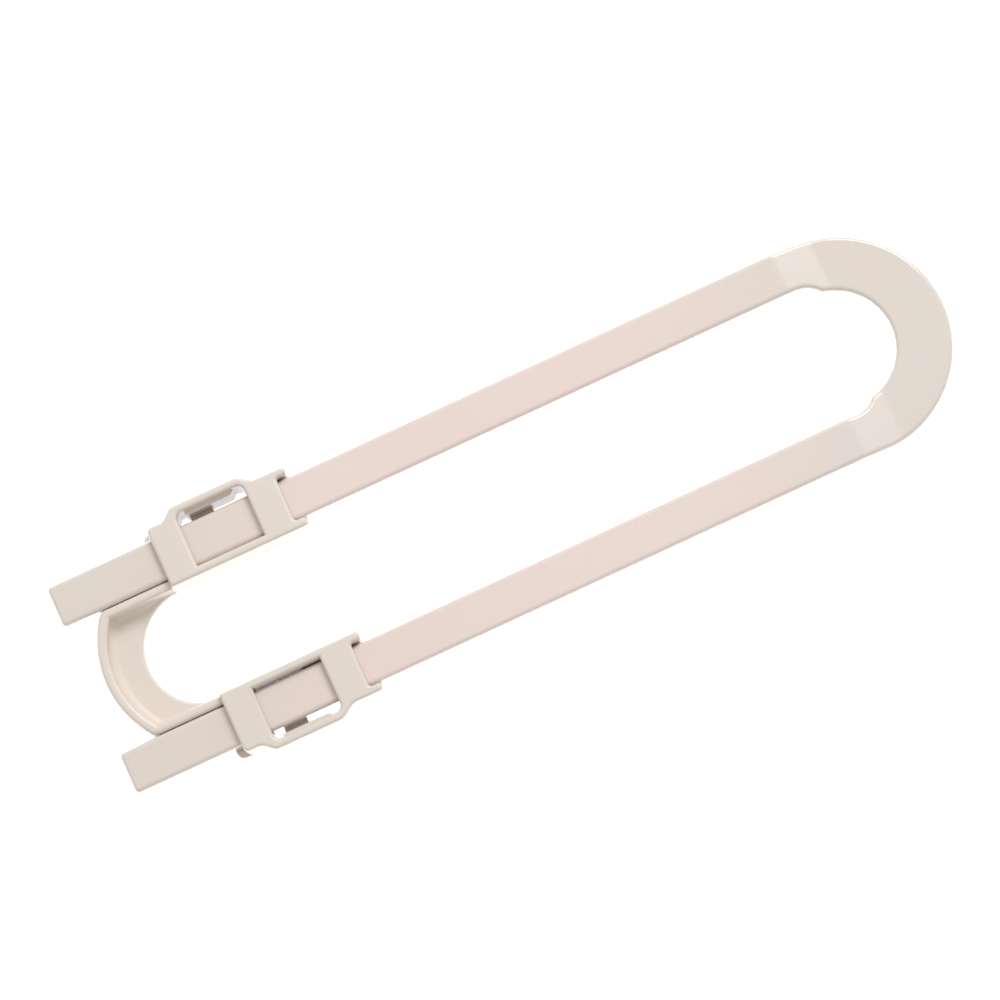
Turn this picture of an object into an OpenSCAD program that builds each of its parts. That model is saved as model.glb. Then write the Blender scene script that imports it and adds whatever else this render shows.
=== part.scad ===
// Cabinet safety lock: a hairpin bar that goes round two handles or knobs, and a slider
// that closes its open end. Each arm of the bar is a channel with a row of ratchet teeth
// inside. Two thumb bars on the slider are squeezed together to free its pawls.
// X runs along the arms towards the bend, Y across them and Z up. The origin is the middle
// of the outline, on the surface that the lock lies on. Left is the side of +Y.

/* [Hairpin bar] */
// Clear gap between the two arms
arm_gap = 33; // [30:0.2:40]
// Width of an arm
arm_w = 10.5; // [10:0.1:13]
// Depth of an arm from its top to its underside
arm_h = 5; // [4.6:0.1:7]
// Length of an arm from its tail end to the centre of the bend
arm_len = 193.8; // [188:0.1:260]
// Thickness of the side walls of the bar
bar_wall = 1.8; // [1.4:0.1:2]
// Thickness of the top of the bar
bar_skin = 1.8; // [1.2:0.1:2]
// Rounding of the top edges of the bar
bar_edge_r = 1.4; // [0.5:0.1:1.6]
// Rounding of the corners at the tail ends
tail_corner_r = 1.3; // [0.5:0.1:2]
// Radius of the round hole inside the bend
bend_inner_r = 14.2; // [12.5:0.1:15]
// How far short of the bend's centre the centre of the round hole lies
hole_set = 0.9; // [0:0.1:1.5]
// How far past the centre of the bend the round hole begins
hole_start = 2.1; // [1.5:0.1:3.5]
// Radius that leads the arm's inner edge into the round hole
lead_r = 6.5; // [6:0.1:9]
// Length of the ramps from the arms down to the bend
ramp_len = 9.7; // [9:0.1:14]
// How far past the centre of the bend the ramps end
ramp_past = 4.6; // [4:0.1:7]

/* [Ratchet] */
// Distance from tooth to tooth
tooth_pitch = 2; // [1.5:0.5:2]
// Depth of a tooth
tooth_depth = 1.1; // [0.8:0.1:1.1]
// Plastic behind the teeth
rack_back = 0.4; // [0.3:0.1:0.6]
// How far the slider can go back towards the tails
slide_back = 24; // [10:2:24]
// Least distance left between the slider and the ramps
ramp_clear = 5; // [2:0.5:20]
// Number of teeth on a pawl
pawl_teeth = 3; // [2:1:4]
// Gap between the pawl's teeth and the rack, across the arm
mesh_gap = 0.25; // [0.2:0.05:0.3]
// Gap between the steep faces of the teeth, along the arm
face_gap = 0.1; // [0.05:0.05:0.15]
// How far a thumb bar can be pressed in
press_travel = 1.5; // [1.4:0.1:1.6]

/* [Slider] */
// Distance from the tail ends to the slider's collars
tail_out = 27.3; // [27:0.5:60]
// Width of the strap nearer to the tails
tail_strap_w = 7.7; // [6:0.1:10]
// Length of the window between the two straps
window_len = 17.4; // [17:0.1:22]
// Width of the strap nearer to the bend
bend_strap_w = 7.8; // [6:0.1:10]
// How far the side rails run on past the strap
rail_past = 2.9; // [1:0.1:5]
// Thickness of the straps over the arms
strap_t = 2; // [1.6:0.1:3]
// Thickness of the base under the arms
base_t = 2; // [1.8:0.1:3]
// Thickness of the inner rails
rail_w = 2.1; // [1.8:0.1:2.6]
// Thickness of the outer walls
collar_wall = 1.9; // [1.4:0.1:2.4]
// Running gap above and below the arms
run_gap = 0.2; // [0.15:0.05:0.3]
// Running gap at the sides of the arms
side_gap = 0.4; // [0.3:0.05:0.5]
// Rounding of the slider's top edges
slider_edge_r = 1; // [0.4:0.1:1]
// How far the base shows past the straps on the tail side
lip_past = 2.2; // [0.5:0.1:4]
// Rounding of the base's outer corners
lip_corner_r = 2.1; // [0.5:0.1:3]
// Length of the base's inner tongue under the window
base_tongue = 5.4; // [2:0.1:6]

/* [Bridge] */
// Outer radius of the bridge between the two arms
bridge_r = 25.8; // [24:0.1:28]
// How far inside the collars the bridge's centre lies
bridge_set = 2.3; // [0.5:0.1:3]
// How far inside the collars the centre of the floor's round edge lies
floor_set = 0.8; // [0:0.1:2]
// Width of the bridge's raised rim
rim_w = 2.4; // [1.8:0.1:3.6]
// Height of the rim
rim_h = 7; // [5:0.1:9]
// Rounding of the rim's top edges
rim_edge_r = 0.9; // [0.3:0.1:0.9]

/* [Thumb bars] */
// How far a thumb bar stands out past the collars
bow_rise = 2.4; // [2.2:0.1:3.2]
// Thickness of a thumb bar
bow_t = 2; // [1.8:0.1:2.2]
// Length of the curve that leads from the tail collar out to the thumb bar
tail_root = 4; // [2:0.1:5]
// Length of the curve that leads from the bend collar out to the thumb bar
bend_root = 3.6; // [2:0.1:5]
// How far that curve runs on over the window
root_ahead = 1.4; // [0:0.1:2]
// Length of the flexure at the tail end of a thumb bar
tail_flex = 2.2; // [1.5:0.1:2.4]
// Length of the flexure at the bend end of a thumb bar
bend_flex = 2.6; // [1.5:0.1:3.5]
// Gap left between the pad and the arm when the thumb bar is pressed home
press_gap = 0.2; // [0.1:0.05:0.4]
// Depth of the pad inside the thumb bar at its bend end
pad_thin = 0.15; // [0.1:0.05:0.4]
// Height of the pad above the surface
pad_h = 7; // [4:0.1:8]
// Height of a thumb bar's underside above the surface
bow_lift = 0.4; // [0.2:0.1:0.6]
// Distance from the pad's tail end to the pawl
pawl_from = 0.5; // [0:0.1:2]
// Thickness of the pawl's upright behind its teeth
pawl_back = 1.4; // [1:0.1:1.5]

/* [Hidden] */
$fn = 64;

bar_colour = [0.92, 0.87, 0.83];
slider_colour = [0.89, 0.84, 0.8];
press_colour = [0.86, 0.8, 0.76];

// Overrun of cuts, and how deep a rib is rooted in its walls
over = 1;
weld = 0.3;
// Gap between a flexure and the rigid part of its thumb bar
flex_gap = 0.1;
// Ribs under the bend, and the stop that ends the slider's travel
rib_t = 1.2;
rib_lift = 0.6;
rib_angles = [-60 : 30 : 60];
rib_r = bend_inner_r - hole_set + bar_wall - weld;
stop_gap = 0.6;
half_turn = 180;
// Gap above the pawl, inside the channel
pawl_top_gap = 0.4;
// Share of the pitch that a tooth slopes along, and the share of its flat tip
slope_share = 0.75;
land_share = 0.15;
// Steps of the outline of the bend, of a curved edge and of a thumb bar's root
lead_steps = 7;
hole_steps = 2;
ring_steps = 40;
edge_steps = 4;
root_steps = 8;

// Places across the arms
arm_in = arm_gap / 2;
arm_out = arm_in + arm_w;
rail_out = arm_in - side_gap;
rail_in = rail_out - rail_w;
wall_in = arm_out + side_gap;
wall_out = wall_in + collar_wall;
bow_out = wall_out + bow_rise;
bow_in = bow_out - bow_t;
pad_deep = bow_in - arm_out - press_travel - press_gap;
rack_y = arm_out - bar_wall;
rack_root = rack_y - rack_back;

// Heights
arm_z = base_t + run_gap;
channel_h = arm_h - bar_skin;
strap_z = arm_z + arm_h + run_gap;
slider_h = strap_z + strap_t;

// Places along the arms
bend_outer_r = arm_out;
tail_x = -(arm_len + bend_outer_r) / 2;
bend_x = tail_x + arm_len;
hole_x = bend_x + hole_start;
hole_y = sqrt(pow(bend_inner_r, 2) - pow(hole_start + hole_set, 2));
lead_x = hole_x - lead_r * sin(acos(1 - (arm_in - hole_y) / lead_r));
ramp_end_x = bend_x + ramp_past;
ramp_x = min(ramp_end_x - ramp_len, lead_x);
collar_x = tail_x + tail_out;
window_x = collar_x + tail_strap_w;
window_end_x = window_x + window_len;
strap_end_x = window_end_x + bend_strap_w;
rail_end_x = strap_end_x + rail_past;
// The slider goes forward by a whole number of teeth
slide_forward = floor((ramp_x - rail_end_x - ramp_clear) / tooth_pitch) * tooth_pitch;
bridge_x = collar_x + bridge_set;
pad_x = window_x + tail_flex;
pad_end_x = window_end_x - bend_flex;
root_x = window_end_x - root_ahead;
pawl_x = pad_x + pawl_from;
pawl_len = (pawl_teeth - 1 + slope_share + land_share) * tooth_pitch;
pawl_end_x = pawl_x + pawl_len;
spare_teeth = 1;
rack_x = pawl_x - face_gap - (ceil(slide_back / tooth_pitch) + spare_teeth) * tooth_pitch;
rack_teeth = ceil(slide_back / tooth_pitch) + round(slide_forward / tooth_pitch)
    + pawl_teeth + spare_teeth;
stop_x = pawl_end_x + slide_forward + stop_gap;

function mix(a, b, t) = a + (b - a) * t;
function ease(t) = t * t * (3 - 2 * t);

// Outside of a thumb bar and of the curves that lead from the collars out to it
function bow_y(x) = wall_out + bow_rise * (
    x < window_x ? ease((x - window_x + tail_root) / tail_root)
    : x > root_x ? 1 - ease((x - root_x) / (root_ahead + bend_root)) : 1);

// Where the face of a thumb bar's pad lies, from the tail end to the bend end
function pad_y(x) = bow_in - mix(pad_deep, pad_thin, (x - pad_x) / (pad_end_x - pad_x));

// A row of teeth that point to -Y, each with its slope first and its steep face last
function saw(x, y, teeth) = [
    for (i = [0 : teeth - 1], corner = [[0, 0], [slope_share, -1], [slope_share + land_share, -1]])
        [x + (i + corner.x) * tooth_pitch, y + corner.y * tooth_depth]
];

// Edges of the hairpin at a place along it: before the ramp's end the two edges face each
// other across the arm, and past it they turn with the bend
function outer_y(x) = x < bend_x ? arm_out : sqrt(pow(bend_outer_r, 2) - pow(x - bend_x, 2));
function inner_y(x) = x < hole_x
    ? arm_in - lead_r + sqrt(pow(lead_r, 2) - pow(max(x, lead_x) - lead_x, 2))
    : sqrt(pow(bend_inner_r, 2) - pow(x - bend_x + hole_set, 2));
function ramp_z(x) = arm_z * (1 - min(1, (x - ramp_x) / (ramp_end_x - ramp_x)));
// A point of a ring whose centre lies short of the bend's, from one ramp's end to the other's
function on_ring(r, short, t) =
    let (first = asin((ramp_past + short) / r), turn = mix(first, half_turn - first, t))
    [bend_x - short + r * sin(turn), r * cos(turn)];

ramp_stations = concat(
    [ramp_x],
    [for (i = [0 : lead_steps]) mix(lead_x, hole_x, i / lead_steps)],
    [for (i = [1 : hole_steps]) mix(hole_x, ramp_end_x, i / hole_steps)]
);
near_edges = [for (x = ramp_stations) [[x, outer_y(x)], [x, inner_y(x)], ramp_z(x)]];
ring_edges = [
    for (i = [1 : ring_steps - 1])
        let (t = i / ring_steps)
        [on_ring(bend_outer_r, 0, t), on_ring(bend_inner_r, hole_set, t), 0]
];
far_edges = [
    for (i = [len(near_edges) - 1 : -1 : 0])
        let (e = near_edges[i]) [[e[0].x, -e[0].y], [e[1].x, -e[1].y], e[2]]
];
bend_edges = concat(near_edges, ring_edges, far_edges);

// The channel's section, as distances from the outer edge and heights
function edge_arc(x, side) = [
    for (i = [0 : edge_steps])
        let (a = (side > 0 ? i : edge_steps - i) * 90 / edge_steps)
        [x + side * bar_edge_r * (1 - cos(a)), arm_h - bar_edge_r + bar_edge_r * sin(a)]
];
function channel_section(w) = concat(
    [[0, 0]], edge_arc(0, 1), edge_arc(w, -1), [[w, 0]],
    [[w - bar_wall, 0], [w - bar_wall, channel_h], [bar_wall, channel_h], [bar_wall, 0]]
);
function section_at(e) =
    let (w = norm(e[0] - e[1]))
    [for (p = channel_section(w)) concat(mix(e[0], e[1], p.x / w), [e[2] + p.y])];

// The same section as flat pieces without a hollow, for the ends: a leg, the top and a leg
function channel_ends() =
    let (top = 2 * (edge_steps + 1))
    [[top, top + 1, top + 2, top + 3],
     concat([top + 3, top + 4], [for (i = [1 : top]) i]),
     [top + 4, top + 5, 0, 1]];

// Skin of a solid whose sections all have the same number of points. Its two ends are given
// as the flat pieces of one section.
function skin(stations, count, ends) = concat(
    ends,
    [for (s = [0 : stations - 2], i = [0 : count - 1], half = [0, 1])
        let (a = s * count + i, b = s * count + (i + 1) % count)
        half == 0 ? [a, a + count, b] : [b, a + count, b + count]],
    [for (piece = ends)
        [for (i = [len(piece) - 1 : -1 : 0]) (stations - 1) * count + piece[i]]]
);

// Rectangle whose corners have their own radii, anticlockwise from the low corner
module corner_rect(low, high, radii) {
    corners = [low, [high.x, low.y], high, [low.x, high.y]];
    inward = [[1, 1], [-1, 1], [-1, -1], [1, -1]];
    difference() {
        translate(low) square(high - low);
        for (i = [0 : 3])
            if (radii[i] > 0)
                translate(corners[i]) scale([inward[i].x, inward[i].y])
                    difference() {
                        translate([-over, -over]) square(radii[i] + over);
                        translate([radii[i], radii[i]]) circle(radii[i]);
                    }
    }
}

// A section drawn in Y and Z, carried along X
module along_x(x0, x1) {
    translate([x0, 0, 0]) rotate([90, 0, 90]) linear_extrude(x1 - x0) children();
}

// A side view drawn in X and Z, carried along Y
module along_y(y0, y1) {
    translate([0, y1, 0]) rotate([90, 0, 0]) linear_extrude(y1 - y0) children();
}

module plate(z0, z1) {
    translate([0, 0, z0]) linear_extrude(z1 - z0) children();
}

module right_side() {
    mirror([0, 1, 0]) children();
}

// One arm: a channel that is open below and at its tail, with the stop that ends the travel
module arm() {
    color(bar_colour) union() {
        difference() {
            intersection() {
                along_x(tail_x, ramp_x)
                    corner_rect([arm_in, arm_z], [arm_out, arm_z + arm_h], [0, 0, bar_edge_r, bar_edge_r]);
                along_y(arm_in, arm_out)
                    corner_rect([tail_x, arm_z], [ramp_x, arm_z + arm_h], [0, 0, 0, bar_edge_r]);
                plate(arm_z, arm_z + arm_h)
                    corner_rect([tail_x, arm_in], [ramp_x, arm_out], [tail_corner_r, 0, 0, tail_corner_r]);
            }
            translate([tail_x - over, arm_in + bar_wall, arm_z - over])
                cube([ramp_x - tail_x + 2 * over, arm_w - 2 * bar_wall, channel_h + over]);
        }
        translate([stop_x, arm_in + bar_wall - weld, arm_z + rib_lift])
            cube([rib_t, arm_w - 2 * bar_wall + 2 * weld, channel_h - rib_lift + weld]);
    }
}

module left_arm() {
    arm();
}

module right_arm() {
    right_side() arm();
}

// The bend with its two ramps, hollow below, with ribs across the hollow
module end_bend() {
    points = [for (e = bend_edges) each section_at(e)];
    count = len(channel_section(arm_w));
    color(bar_colour) union() {
        polyhedron(points, skin(len(bend_edges), count, channel_ends()));
        for (a = rib_angles)
            translate([bend_x, 0, 0]) rotate(a)
                translate([rib_r, -rib_t / 2, rib_lift])
                    cube([bend_outer_r - bar_wall + weld - rib_r, rib_t,
                          channel_h - rib_lift + weld]);
    }
}

// Ratchet teeth on the inside of an arm's outer wall
module rack() {
    teeth = saw(rack_x, rack_root, rack_teeth);
    color(bar_colour) plate(arm_z, arm_z + channel_h)
        polygon(concat([[rack_x, rack_y]], teeth,
                       [[rack_x + rack_teeth * tooth_pitch, rack_root],
                        [rack_x + rack_teeth * tooth_pitch, rack_y]]));
}

module left_rack() {
    rack();
}

module right_rack() {
    right_side() rack();
}

// A strap over the arm, with its long edges rounded
module strap(x0, x1) {
    intersection() {
        along_x(x0, x1)
            corner_rect([rail_in, strap_z], [wall_out, slider_h], [0, 0, slider_edge_r, slider_edge_r]);
        along_y(rail_in, wall_out)
            corner_rect([x0, strap_z], [x1, slider_h], [0, 0, slider_edge_r, slider_edge_r]);
    }
}

// A length of a thumb bar's skin, or of the curve that leads out to it, which is solid as
// far as the collar's wall. Its sections are the same wherever it runs straight.
module bow(x0, x1, steps, solid) {
    section = function (y, low) concat(
        [[low, bow_lift], [y, bow_lift]],
        [for (i = [0 : edge_steps])
            let (a = i * 90 / edge_steps)
            [y - slider_edge_r * (1 - cos(a)), slider_h - slider_edge_r * (1 - sin(a))]],
        [[low, slider_h]]
    );
    points = [
        for (i = [0 : steps])
            let (x = mix(x0, x1, i / steps), y = bow_y(x))
            for (p = section(y, solid ? wall_in + weld : y - bow_t)) [x, p.x, p.y]
    ];
    count = len(section(bow_out, bow_in));
    polyhedron(points, skin(steps + 1, count, [[for (i = [0 : count - 1]) i]]));
}

// One buckle: two collars round the arm, joined by the inner rail, over an open window
module buckle() {
    outer = [0, 0, slider_edge_r, slider_edge_r];
    color(slider_colour) union() {
        along_x(collar_x, rail_end_x)
            corner_rect([rail_in, 0], [rail_out, slider_h], outer);
        intersection() {
            union() {
                along_x(collar_x, window_x) corner_rect([wall_in, 0], [wall_out, slider_h], outer);
                strap(collar_x, window_x);
            }
            plate(0, slider_h)
                corner_rect([collar_x, rail_in], [window_x, wall_out], [0, 0, 0, tail_corner_r]);
        }
        along_x(window_end_x, rail_end_x)
            corner_rect([wall_in, 0], [wall_out, slider_h], outer);
        strap(window_end_x, strap_end_x);
        plate(0, base_t) {
            corner_rect([collar_x - lip_past, rail_out], [window_x, wall_out], [0, 0, 0, lip_corner_r]);
            translate([collar_x, rail_in]) square([tail_strap_w, rail_w]);
            translate([window_end_x, rail_in]) square([bend_strap_w + rail_past, wall_out - rail_in]);
            corner_rect([window_end_x - base_tongue, rail_in],
                        [window_end_x + weld, (arm_in + arm_out) / 2],
                        [0, 0, 0, tail_corner_r]);
        }
        bow(window_x - tail_root, window_x, root_steps, true);
        bow(window_end_x, window_end_x + bend_root, root_steps, true);
    }
}

module left_buckle() {
    buckle();
}

module right_buckle() {
    right_side() buckle();
}

// The bridge that joins the two buckles: a low floor inside a raised rim
module bridge() {
    length = bridge_r + over;
    color(slider_colour) union() {
        intersection() {
            translate([bridge_x, 0, 0]) rotate_extrude()
                translate([bridge_r - rim_w, 0])
                    corner_rect([0, 0], [rim_w, rim_h], [0, 0, rim_edge_r, rim_edge_r]);
            plate(0, rim_h) bridge_band(length);
        }
        for (side = [0, 1])
            mirror([0, side, 0]) intersection() {
                along_x(bridge_x - length, collar_x)
                    corner_rect([rail_in, 0], [rail_out, rim_h], [0, 0, rim_edge_r, rim_edge_r]);
                translate([bridge_x, 0, 0]) cylinder(h = rim_h, r = bridge_r - weld);
            }
        plate(0, base_t) difference() {
            intersection() {
                translate([bridge_x, 0]) circle(bridge_r - weld);
                bridge_band(length);
            }
            translate([collar_x + floor_set, 0]) circle(rail_in);
        }
    }
}

// The strip between the arms that the bridge fills
module bridge_band(length) {
    translate([collar_x - length, -rail_out]) square([length, 2 * rail_out]);
}

module tail_flexure() {
    color(press_colour) bow(window_x, pad_x - flex_gap, 1, false);
}

module bend_flexure() {
    color(press_colour) bow(pad_end_x + flex_gap, window_end_x, root_steps, false);
}

module left_tail_flexure() {
    tail_flexure();
}

module left_bend_flexure() {
    bend_flexure();
}

module right_tail_flexure() {
    right_side() tail_flexure();
}

module right_bend_flexure() {
    right_side() bend_flexure();
}

// The rigid middle of a thumb bar, with the wedge-shaped pad that meets the arm when pressed
module thumb_bar() {
    color(press_colour) union() {
        bow(pad_x, pad_end_x, 1, false);
        plate(bow_lift, pad_h)
            polygon([[pad_x, pad_y(pad_x)], [pad_end_x, pad_y(pad_end_x)],
                     [pad_end_x, bow_in + weld], [pad_x, bow_in + weld]]);
    }
}

module left_thumb_bar() {
    thumb_bar();
}

module right_thumb_bar() {
    right_side() thumb_bar();
}

// The pawl: a tongue that passes under the arm's outer wall, and an upright with teeth
module pawl() {
    tip = rack_root - mesh_gap;
    back = tip - tooth_depth - pawl_back;
    color(press_colour) union() {
        plate(bow_lift, base_t)
            polygon([[pawl_x, back], [pawl_end_x, back],
                     [pawl_end_x, pad_y(pawl_end_x)], [pawl_x, pad_y(pawl_x)]]);
        plate(bow_lift, arm_z + channel_h - pawl_top_gap)
            polygon(concat([[pawl_end_x, back], [pawl_x, back]], saw(pawl_x, tip, pawl_teeth)));
    }
}

module left_pawl() {
    pawl();
}

module right_pawl() {
    right_side() pawl();
}

end_bend();
left_arm();
right_arm();
left_rack();
right_rack();
bridge();
left_buckle();
right_buckle();
left_tail_flexure();
left_bend_flexure();
right_tail_flexure();
right_bend_flexure();
left_thumb_bar();
right_thumb_bar();
left_pawl();
right_pawl();
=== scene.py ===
"""Cabinet safety lock: a hairpin bar and the slider that closes it, laid flat for its picture."""

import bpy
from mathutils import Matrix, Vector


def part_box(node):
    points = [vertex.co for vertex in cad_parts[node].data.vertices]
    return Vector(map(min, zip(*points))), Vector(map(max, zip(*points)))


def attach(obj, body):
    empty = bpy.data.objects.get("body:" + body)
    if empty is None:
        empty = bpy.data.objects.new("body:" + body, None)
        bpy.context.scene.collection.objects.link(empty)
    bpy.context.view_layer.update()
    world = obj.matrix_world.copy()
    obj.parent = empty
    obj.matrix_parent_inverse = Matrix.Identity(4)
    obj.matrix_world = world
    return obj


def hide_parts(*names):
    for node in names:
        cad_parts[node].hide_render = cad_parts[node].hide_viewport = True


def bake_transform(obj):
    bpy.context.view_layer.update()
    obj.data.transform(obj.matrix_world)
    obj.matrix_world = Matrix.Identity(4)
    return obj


bl_info = {
    "name": "Cabinet safety lock",
    "version": (1, 0, 0),
    "blender": (4, 5, 0),
    "location": "3D View > Sidebar > Safety Lock",
    "description": "Models a sliding cabinet lock: a hairpin bar and a slider with two thumb bars",
    "category": "Object",
}

import math

import bmesh
import bpy
from mathutils import Matrix, Vector

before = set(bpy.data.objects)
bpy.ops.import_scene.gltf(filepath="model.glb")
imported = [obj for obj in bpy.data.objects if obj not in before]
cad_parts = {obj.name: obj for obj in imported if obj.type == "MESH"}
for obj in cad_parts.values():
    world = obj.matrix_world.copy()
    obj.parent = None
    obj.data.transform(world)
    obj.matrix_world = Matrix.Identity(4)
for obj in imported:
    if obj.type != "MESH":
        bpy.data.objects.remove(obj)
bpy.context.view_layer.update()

MM = 0.001
# Points nearer than this are one, when a shape is welded and when a cut passes through a point
WELD = 0.002 * MM
CUT_SLACK = 0.0005 * MM
# A move shorter than this isn't made
STILL = 0.00001 * MM
# How squarely a face points along an axis if it is flat, on a ramp, or upright
FLAT = 0.9
SLOPED = 0.8
UPRIGHT = 0.1
# Facets in a rounded edge, in a rounded corner and in the ramps' creases
EDGE_STEPS = 5
CORNER_STEPS = 4
CREASE_STEPS = 6
# Edges sharper than this stay sharp in the shading
SHARP = math.radians(38)


def low(node):
    """Lowest corner of a CAD node."""
    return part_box(node)[0]


def high(node):
    """Highest corner of a CAD node."""
    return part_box(node)[1]


# Places that the solids give: along the arms, across them and above the surface
TAIL_X = low("left_arm").x
RAMP_X = high("left_arm").x
TIP_X = high("end_bend").x
ARM_IN = low("left_arm").y
ARM_OUT = high("left_arm").y
ARM_Z = low("left_arm").z
ARM_TOP = high("left_arm").z
BEND_X = TIP_X - ARM_OUT
COLLAR_X = high("bridge").x
LIP_X = low("left_buckle").x
WINDOW_X = low("left_tail_flexure").x
WINDOW_END_X = high("left_bend_flexure").x
PAD_X = low("left_thumb_bar").x
PAD_END_X = high("left_thumb_bar").x
RAIL_END_X = high("left_buckle").x
RAIL_IN = low("left_buckle").y
RAIL_OUT = high("bridge").y
BOW_OUT = high("left_thumb_bar").y
PAD_Y = low("left_thumb_bar").y
BOW_Z = low("left_thumb_bar").z
SLIDER_TOP = high("left_buckle").z
RIM_TOP = high("bridge").z
BRIDGE_TAIL_X = low("bridge").x

# The start of each arm's stop rib, the bend's rib angles, and the tails' spare length to cut off
STOP_X = 53.7 * MM
RIB_ANGLES = (60, 30, 0)
SPARE = 6 * MM


def length(name, description, millimetres):
    """A size that is given in millimetres and kept in metres."""
    return bpy.props.FloatProperty(
        name=name, description=description, default=millimetres * MM, min=0.0,
        precision=5, unit="LENGTH", subtype="DISTANCE")


def share(name, description, default):
    """A strength from 0 to 1."""
    return bpy.props.FloatProperty(
        name=name, description=description, default=default, min=0.0, max=1.0,
        subtype="FACTOR")


def colour(name, description, red, green, blue):
    """A colour picker whose default is given as the eye sees it, from 0 to 255."""
    def linear(level):
        level /= 255
        return level / 12.92 if level <= 0.04045 else ((level + 0.055) / 1.055) ** 2.4
    return bpy.props.FloatVectorProperty(
        name=name, description=description, default=[linear(c) for c in (red, green, blue)],
        size=3, min=0.0, max=1.0, subtype="COLOR")


class LockBarSizes(bpy.types.PropertyGroup):
    """Sizes of the hairpin bar that aren't read from the solids"""
    wall: length("Wall", "Thickness of the side walls and of the top", 1.8)
    edge: length("Top edges", "Rounding of the top edges", 1.2)
    corner: length("Tail corners", "Rounding of the edges at the tail ends", 1.1)
    hole_r: length("Hole", "Radius of the round hole inside the bend", 14.2)
    hole_set: length("Hole set", "How far short of the bend's centre the hole's centre lies", 0.9)
    hole_start: length("Hole start", "How far past the bend's centre the round hole begins", 2.1)
    lead_r: length("Lead", "Radius that leads the inner edges into the hole", 6.5)
    ramp_past: length("Ramp end", "How far past the bend's centre the ramps end", 4.6)
    crease: length("Creases", "Length over which the ramps' creases are rounded", 1.8)
    rib: length("Ribs", "Thickness of the ribs below", 1.2)
    rib_lift: length("Rib lift", "How far the ribs end above the underside", 0.6)


class LockSliderSizes(bpy.types.PropertyGroup):
    """Sizes of the slider that aren't read from the solids"""
    base: length("Base", "Thickness of the base and of the bridge's floor", 2.0)
    strap: length("Straps", "Thickness of the straps over the arms", 2.0)
    wall: length("Outer walls", "Thickness of the outer walls", 1.9)
    edge: length("Top edges", "Rounding of the top edges", 0.8)
    corner: length("Tail corners", "Rounding of the collars' tail corners, and the tongue's", 1.3)
    lip_corner: length("Lip corners", "Rounding of the lip's corners in plan", 1.9)
    end_corner: length("Rail ends", "Rounding of the rails' and walls' ends in plan", 0.87)
    root_corner: length("Rail roots", "Rounding between the straps and the rails' ends", 0.8)
    rail_past: length("Rail run", "How far the rails run on past the straps", 2.9)
    tongue: length("Tongue", "How far the base's tongue reaches under the window", 5.4)
    bow: length("Thumb bars", "Thickness of the thumb bars", 2.0)
    bow_rise: length("Bar rise", "How far the thumb bars stand out past the walls", 2.4)
    tail_root: length("Tail root", "Length of the curve out to a thumb bar on the tail side", 4.0)
    bend_root: length("Bend root", "Length of that curve on the bend side", 3.6)
    root_ahead: length("Root ahead", "How far the curve runs on over the window", 1.4)
    fillet: length("Window corners", "Rounding of the window's corners at the thumb bar", 1.7)
    pad_thin: length("Pad", "Depth of the wedge-shaped pad at its bend end", 0.15)
    pad_top: length("Pad top", "Height of the pad above the surface", 7.0)


class LockBridgeSizes(bpy.types.PropertyGroup):
    """Sizes of the bridge that aren't read from the solids"""
    centre: length("Centre", "How far inside the collars the bridge's centre lies", 2.3)
    floor_set: length("Floor centre", "How far inside the collars the floor's edge is centred", 0.8)
    closer: length("Closer", "How much nearer to the arms the rim runs than the rails", 0.15)
    rim: length("Rim", "Width of the raised rim", 2.4)
    rim_corner: length("Rim corners", "Rounding of the rim's two outer corners in plan", 2.6)
    rim_edge: length("Rim edge", "Rounding of the rim's outer edge", 0.9)
    rim_inner: length("Inner edge", "Rounding of the rim's inner edge", 0.8)
    dish: length("Dish", "Radius of the hollow curve from the rim to the floor", 2.2)
    floor_edge: length("Floor edge", "Rounding of the floor's round edge", 0.9)


class LockColours(bpy.types.PropertyGroup):
    """Colours and gloss of the plastic"""
    bar: colour("Bar", "Colour of the hairpin bar at the middle of its arms", 233, 218, 211)
    # The bar's ends are darker than its middle as painted shade, where the light falls off towards
    # them
    bar_shaded_ends: colour("Bar ends", "Colour of the bar at its tails and bend", 225, 215, 206)
    slider: colour("Slider", "Colour of the slider", 227, 217, 208)
    bar_roughness: share("Bar roughness", "How matt the bar is under its gloss", 0.27)
    bar_gloss: share("Bar gloss", "Strength of the bar's gloss", 0.9)
    roughness: share("Slider roughness", "How matt the slider is under its gloss", 0.4)
    gloss: share("Slider gloss", "Strength of the slider's gloss", 0.45)
    grain: share("Grain", "Strength of the fine moulded grain", 0.035)


def bar_sizes():
    return bpy.context.scene.lock_bar


def slider_sizes():
    return bpy.context.scene.lock_slider


def bridge_sizes():
    return bpy.context.scene.lock_bridge


def outer_wall():
    """Places across the arms of the slider's outer walls, on their outside and inside."""
    sizes = slider_sizes()
    outside = BOW_OUT - sizes.bow_rise
    return outside, outside - sizes.wall


# Places and curves

def between(a, b, part):
    return a + (b - a) * part


def spread(a, b, steps):
    """Evenly spaced numbers from one to another, with both of them."""
    return [between(a, b, i / steps) for i in range(steps + 1)]


def ease(t):
    """Goes from 0 to 1, slowly at both ends."""
    t = min(1.0, max(0.0, t))
    return t * t * (3 - 2 * t)


def flat(x, y):
    """A place seen from above."""
    return Vector((x, y, 0))


def up(z):
    """A step straight up."""
    return Vector((0, 0, z))


def on_circle(x, y, radius, angle):
    """A place on a circle seen from above, by its angle in radians."""
    return flat(x + radius * math.cos(angle), y + radius * math.sin(angle))


def upright_arc(centre, way, radius, start, end, steps):
    """Places on an arc that stands upright along a way, from one angle to another in degrees."""
    angles = [math.radians(degrees) for degrees in spread(start, end, steps)]
    return [centre + way * radius * math.cos(a) + up(radius * math.sin(a)) for a in angles]


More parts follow.
